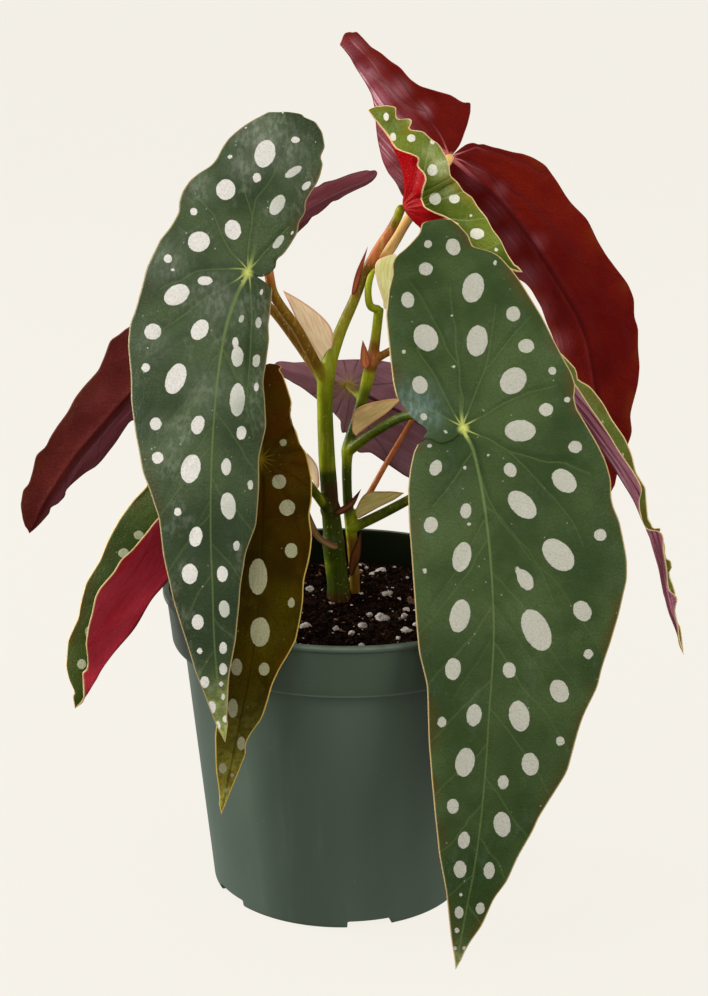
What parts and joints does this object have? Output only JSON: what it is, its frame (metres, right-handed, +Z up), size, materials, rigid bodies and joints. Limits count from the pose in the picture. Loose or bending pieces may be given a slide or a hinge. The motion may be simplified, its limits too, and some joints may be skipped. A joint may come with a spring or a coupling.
{
  "type": "potted polka dot begonia",
  "caption": "Cane begonia with long wing-shaped leaves, dark green with white spots above and red below, standing in a round green nursery pot of soil.",
  "frame": {"origin": "centre of the pot's flat underside, on the surface that the pot stands on", "axes": "+Z up; -Y towards the side from which the plant is seen in the picture; +X to the right in that view"},
  "size_m": [0.2046, 0.1283, 0.2592],
  "materials": {
    "pot_plastic": "satin",
    "potting_soil": "matte",
    "cane_green": "satin",
    "leaf_green_spotted": "satin",
    "leaf_olive_spotted": "satin",
    "leaf_maroon": "satin",
    "leaf_young_red": "satin",
    "sheath_pale": "matte",
    "sheath_brown": "matte",
    "sheath_green": "satin"
  },
  "bodies": {
    "root": {"pot": "pot_plastic", "soil": "potting_soil", "cane_left": "cane_green", "cane_right": "cane_green", "leaf_front_left": "leaf_green_spotted", "leaf_front_right": "leaf_green_spotted", "leaf_low_left_olive": "leaf_olive_spotted", "leaf_top_right": "leaf_maroon", "leaf_top_young": "leaf_young_red", "leaf_far_left": "leaf_maroon", "leaf_low_left_red": "leaf_young_red", "leaf_far_right": "leaf_young_red", "leaf_back_centre": "leaf_maroon", "leaf_low_right": "leaf_green_spotted", "leaf_inner_right": "leaf_green_spotted", "sheath_fork_pink": "sheath_pale", "sheath_right_tan": "sheath_pale", "sheath_low_right": "sheath_pale", "sheath_left_beige": "sheath_pale", "sheath_base_dry": "sheath_brown", "sheath_thorn_dark": "sheath_brown", "sheath_base_right": "sheath_brown", "sheath_upper_red": "sheath_brown", "sheath_top_green": "sheath_green", "sheath_right_red": "sheath_brown"}
  },
  "joints": []
}
